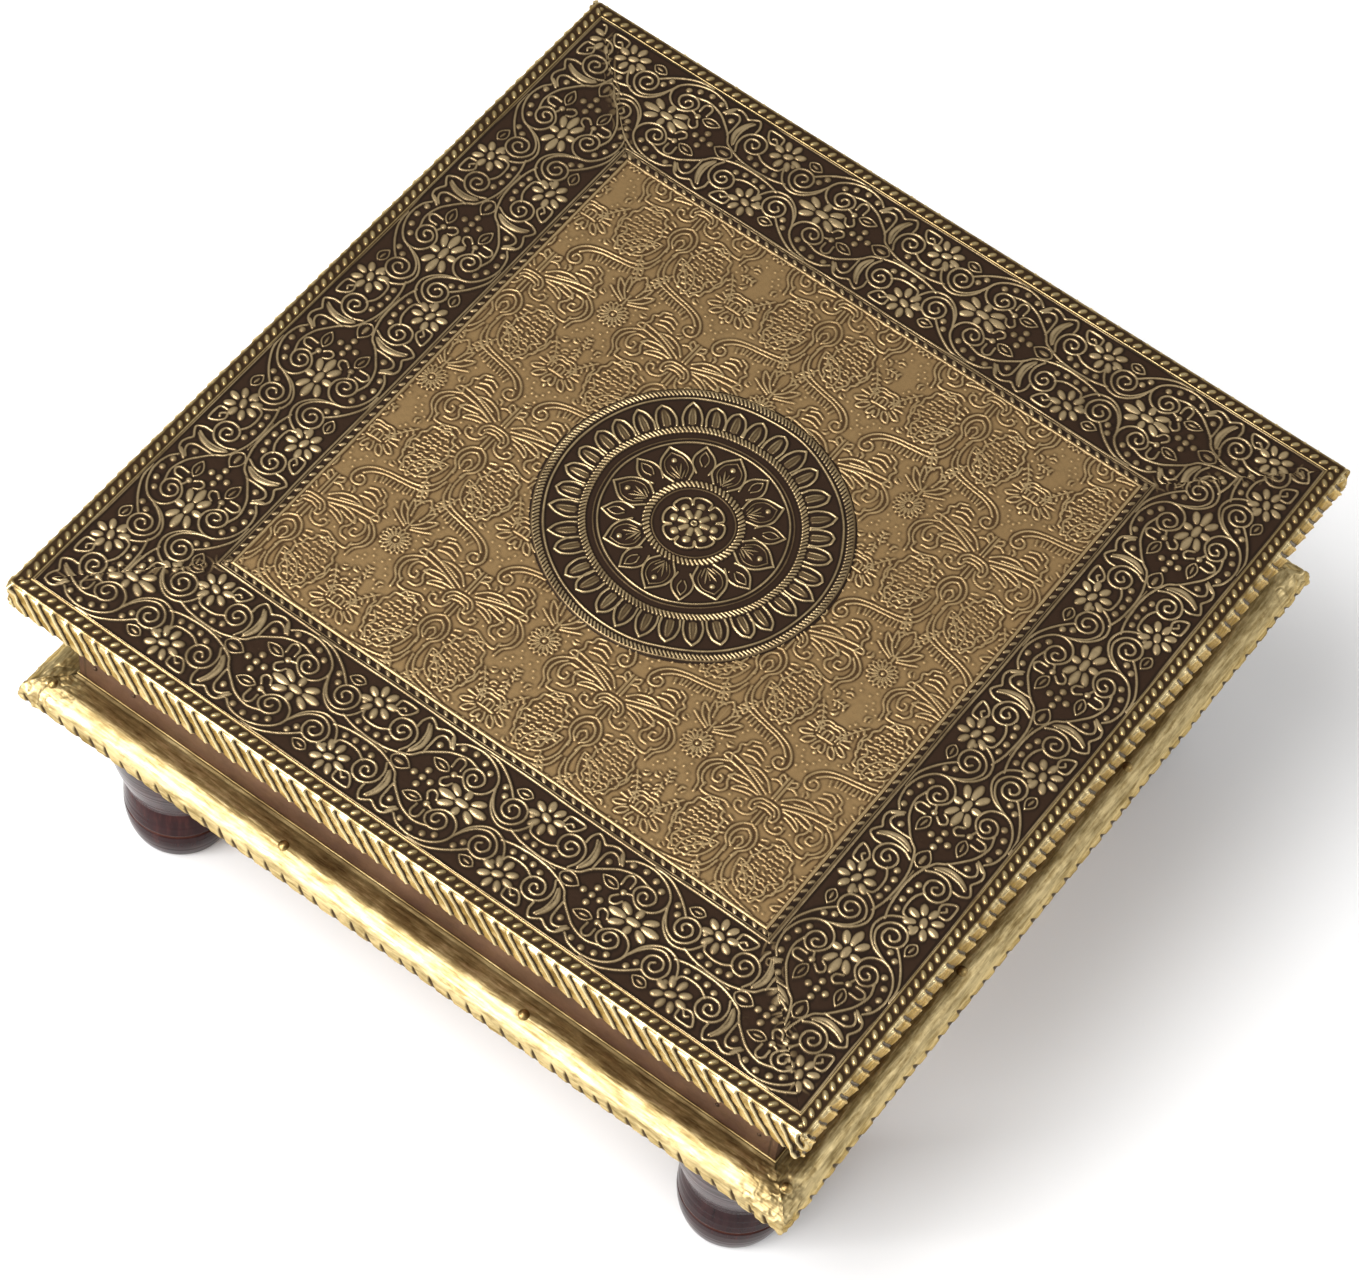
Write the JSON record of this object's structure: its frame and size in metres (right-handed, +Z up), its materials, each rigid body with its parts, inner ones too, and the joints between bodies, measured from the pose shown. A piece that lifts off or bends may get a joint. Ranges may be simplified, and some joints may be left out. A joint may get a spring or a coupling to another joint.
{
  "type": "brass-clad low table",
  "caption": "Low square wooden table clad in embossed brass sheet, with a central medallion, smooth copper-brown apron, moulded plinth and turned dark legs.",
  "frame": {"origin": "on the floor, under the middle of the square top", "axes": "+Z up; -Y towards the front side; X along the front side. The table has the same four sides, so front is a convention"},
  "size_m": [0.307, 0.307, 0.1555],
  "materials": {
    "centre_brass": "embossed sheet, darkened in its hollows",
    "medallion_brass": "embossed disc, brown patina rubbed bright on the raised lines",
    "border_brass": "embossed sheet with a dark brown patina, raised lines rubbed bright",
    "edge_brass": "fluted sheet, polished on its ridges",
    "plinth_brass": "plain hand-dressed sheet, polished",
    "frieze_copper": "smooth sheet with an even copper-brown patina, satin",
    "leg_wood": "turned wood, dark mahogany lacquer, glossy",
    "frame_wood": "sawn softwood, unfinished",
    "pin_brass": "domed pin heads, slightly tarnished",
    "steel": "dull steel"
  },
  "bodies": {
    "root": {"apron_rail_front": "frame_wood", "apron_rail_left": "frame_wood", "apron_rail_rear": "frame_wood", "apron_rail_right": "frame_wood", "border_sheet_front": "border_brass", "border_sheet_left": "border_brass", "border_sheet_rear": "border_brass", "border_sheet_right": "border_brass", "centre_sheet": "centre_brass", "corner_block_front_left": "frame_wood", "corner_block_front_right": "frame_wood", "corner_block_rear_left": "frame_wood", "corner_block_rear_right": "frame_wood", "edge_strip_front": "edge_brass", "edge_strip_left": "edge_brass", "edge_strip_rear": "edge_brass", "edge_strip_right": "edge_brass", "frieze_band_front": "frieze_copper", "frieze_band_left": "frieze_copper", "frieze_band_rear": "frieze_copper", "frieze_band_right": "frieze_copper", "frieze_tacks": "steel", "leg_front_left": "leg_wood", "leg_front_right": "leg_wood", "leg_rear_left": "leg_wood", "leg_rear_right": "leg_wood", "leg_screws": "steel", "medallion": "medallion_brass", "plinth_batten_front": "frame_wood", "plinth_batten_left": "frame_wood", "plinth_batten_rear": "frame_wood", "plinth_batten_right": "frame_wood", "plinth_nails": "steel", "plinth_pins": "pin_brass", "plinth_sheet_front": "plinth_brass", "plinth_sheet_left": "plinth_brass", "plinth_sheet_rear": "plinth_brass", "plinth_sheet_right": "plinth_brass", "top_board": "frame_wood", "top_nails": "steel"}
  },
  "joints": []
}
